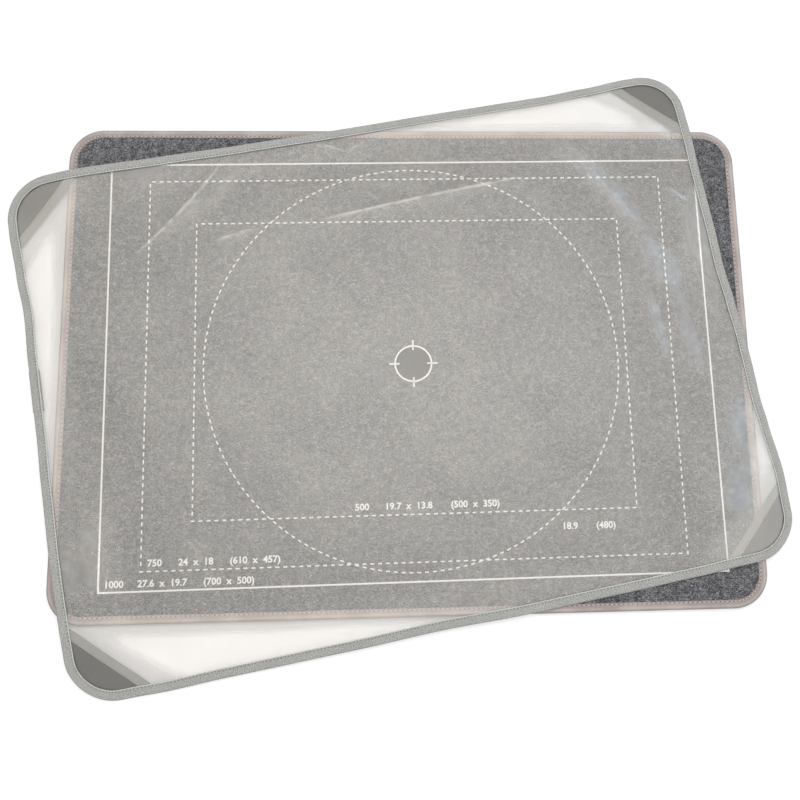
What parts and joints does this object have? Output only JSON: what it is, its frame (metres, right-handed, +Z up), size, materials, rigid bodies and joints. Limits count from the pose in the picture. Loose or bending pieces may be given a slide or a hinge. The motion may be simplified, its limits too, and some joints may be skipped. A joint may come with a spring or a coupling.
{
  "type": "jigsaw puzzle board",
  "caption": "Felt-topped puzzle board with a bound rim, under a loose see-through cover that lifts off and has a cloth pocket at each corner.",
  "frame": {"origin": "middle of the board's underside", "axes": "+X along the board's long side, to the right; +Y to the back; +Z up"},
  "size_m": [0.9018, 0.73, 0.01],
  "materials": {
    "core": "plain hardboard",
    "felt": "heather grey felt",
    "backing": "plain lining",
    "board_tape": "imitation leather, taupe",
    "film": "frosted film",
    "cover_tape": "woven tape",
    "pocket_cloth": "woven cloth, dark",
    "hem_tape": "woven tape"
  },
  "bodies": {
    "board": {"core_panel": "core", "felt_surface": "felt", "backing_sheet": "backing", "board_binding": "board_tape"},
    "cover": {"cover_film": "film", "cover_binding": "cover_tape", "cover_binding_end": "cover_tape", "pocket_back_left": "pocket_cloth", "pocket_back_right": "pocket_cloth", "pocket_front_left": "pocket_cloth", "pocket_front_right": "pocket_cloth", "hem_back_left": "hem_tape", "hem_back_right": "hem_tape", "hem_front_left": "hem_tape", "hem_front_right": "hem_tape"}
  },
  "joints": [
    {"name": "cover_lift", "type": "slide", "parent": "board", "child": "cover", "axis": [0, 0, 1], "range_m": [0, 0.15]}
  ]
}
